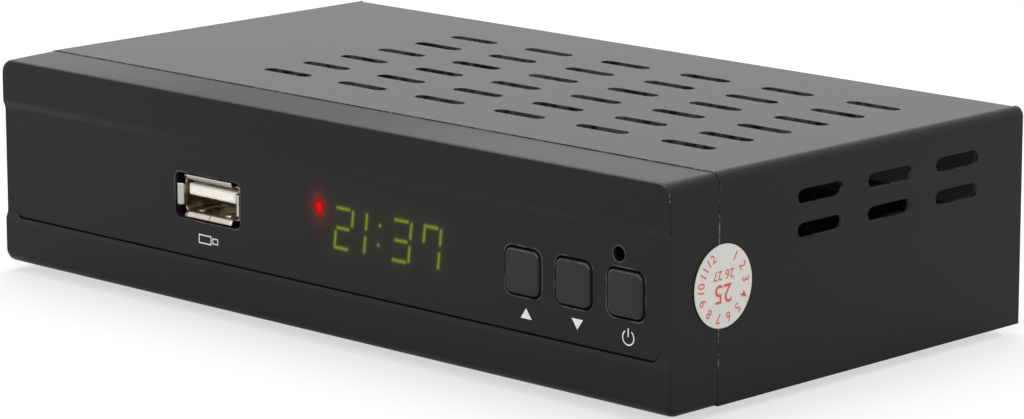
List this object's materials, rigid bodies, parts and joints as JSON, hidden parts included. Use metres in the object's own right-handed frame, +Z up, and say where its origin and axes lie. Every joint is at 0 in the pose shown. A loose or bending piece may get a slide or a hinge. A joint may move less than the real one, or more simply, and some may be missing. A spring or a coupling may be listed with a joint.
{
  "type": "terrestrial tv receiver",
  "caption": "Low set-top receiver box with a vented folded steel cover, moulded front with a lit display, keys and a stick socket, and sockets along its back.",
  "frame": {"origin": "middle of the part's box at the underside of the feet, so it stands on z = 0", "axes": "+X to the right seen from the front, +Y from the front panel to the sockets at the back, +Z up"},
  "size_m": [0.1502, 0.0904, 0.0362],
  "materials": {
    "cover_powder": "fine textured matte powder coat",
    "panel_plastic": "fine matte texture",
    "smoked_film": "satin tinted film with white print",
    "key_plastic": "satin",
    "foot_rubber": "matte",
    "seal_paper": "matte white paper with a red print",
    "zinc_steel": "zinc plated",
    "board_laminate": "green solder resist",
    "plated_shell": "bright nickel plated steel sheet",
    "nickel": "nickel plated brass",
    "tinned_screen": "tinned steel sheet",
    "white_insulator": "satin",
    "black_insulator": "satin",
    "orange_insulator": "satin",
    "display_block": "dark block with lit segments",
    "ir_lens": "dark smooth lens",
    "chip_epoxy": "matte moulded",
    "capacitor_sleeve": "shrink sleeve",
    "ferrite": "matte",
    "anodised_aluminium": "black anodised",
    "ribbon_grey": "satin ribbon",
    "red_lens": "clear red lens"
  },
  "bodies": {
    "case": {"top_cover": "cover_powder", "base_pan": "cover_powder", "front_panel": "panel_plastic", "front_overlay": "smoked_film", "seal_sticker": "seal_paper", "foot_front_left": "foot_rubber", "foot_front_right": "foot_rubber", "foot_rear_left": "foot_rubber", "foot_rear_right": "foot_rubber", "board_screw_1": "zinc_steel", "board_screw_2": "zinc_steel", "board_screw_3": "zinc_steel", "board_screw_4": "zinc_steel", "front_board_screw_1": "zinc_steel", "front_board_screw_2": "zinc_steel", "front_board_screw_3": "zinc_steel", "cover_screw_left": "zinc_steel", "cover_screw_right": "zinc_steel", "front_board": "board_laminate", "display_module": "display_block", "standby_lamp": "red_lens", "ir_receiver": "ir_lens", "up_switch_body": "black_insulator", "down_switch_body": "black_insulator", "power_switch_body": "black_insulator", "stick_socket_shell": "plated_shell", "stick_socket_tongue": "white_insulator", "main_board": "board_laminate", "tuner_can": "tinned_screen", "aerial_in_sleeve": "nickel", "aerial_in_contact": "white_insulator", "aerial_out_sleeve": "nickel", "aerial_out_pin": "nickel", "picture_socket_shell": "plated_shell", "picture_socket_tongue": "black_insulator", "wide_socket": "black_insulator", "sound_socket_body": "black_insulator", "sound_socket_barrel": "nickel", "sound_socket_core": "orange_insulator", "power_jack_body": "black_insulator", "power_jack_pin": "nickel", "heatsink": "anodised_aluminium", "processor": "chip_epoxy", "memory_chip": "chip_epoxy", "flash_chip": "chip_epoxy", "crystal_can": "tinned_screen", "power_coil": "ferrite", "capacitor_1": "capacitor_sleeve", "capacitor_2": "capacitor_sleeve", "capacitor_3": "capacitor_sleeve", "front_header": "black_insulator", "main_header": "black_insulator", "flat_lead": "ribbon_grey"},
    "up_key": {"up_key_cap": "key_plastic", "up_switch_plunger": "white_insulator"},
    "down_key": {"down_key_cap": "key_plastic", "down_switch_plunger": "white_insulator"},
    "power_key": {"power_key_cap": "key_plastic", "power_switch_plunger": "white_insulator"}
  },
  "joints": [
    {"name": "up_key_press", "type": "slide", "parent": "case", "child": "up_key", "axis": [0, 1, 0], "range_m": [0, 0.0004], "stiffness_N_per_m": 2000, "springref_m": -0.0004},
    {"name": "down_key_press", "type": "slide", "parent": "case", "child": "down_key", "axis": [0, 1, 0], "range_m": [0, 0.0004], "stiffness_N_per_m": 2000, "springref_m": -0.0004},
    {"name": "power_key_press", "type": "slide", "parent": "case", "child": "power_key", "axis": [0, 1, 0], "range_m": [0, 0.0004], "stiffness_N_per_m": 2000, "springref_m": -0.0004}
  ]
}
